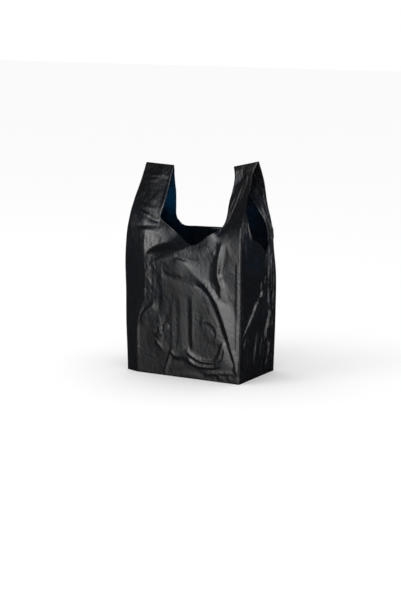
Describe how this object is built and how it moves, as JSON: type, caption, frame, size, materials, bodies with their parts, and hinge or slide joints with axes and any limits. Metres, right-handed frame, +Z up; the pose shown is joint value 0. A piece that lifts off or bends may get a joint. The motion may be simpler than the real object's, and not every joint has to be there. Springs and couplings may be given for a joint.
{
  "type": "plastic carrier bag",
  "caption": "Black vest-style plastic carrier bag standing open, with side gussets, two looped handles cut from the film and a flat welded base.",
  "frame": {"origin": "middle of the base on the floor", "axes": "+Z up, +X towards the right-hand handle as the front panel is faced, front panel towards -Y"},
  "size_m": [0.3028, 0.1675, 0.4818],
  "materials": {
    "film": "thin black film with a soft gloss and fine creases"
  },
  "bodies": {
    "root": {"carrier_bag": "film"}
  },
  "joints": []
}
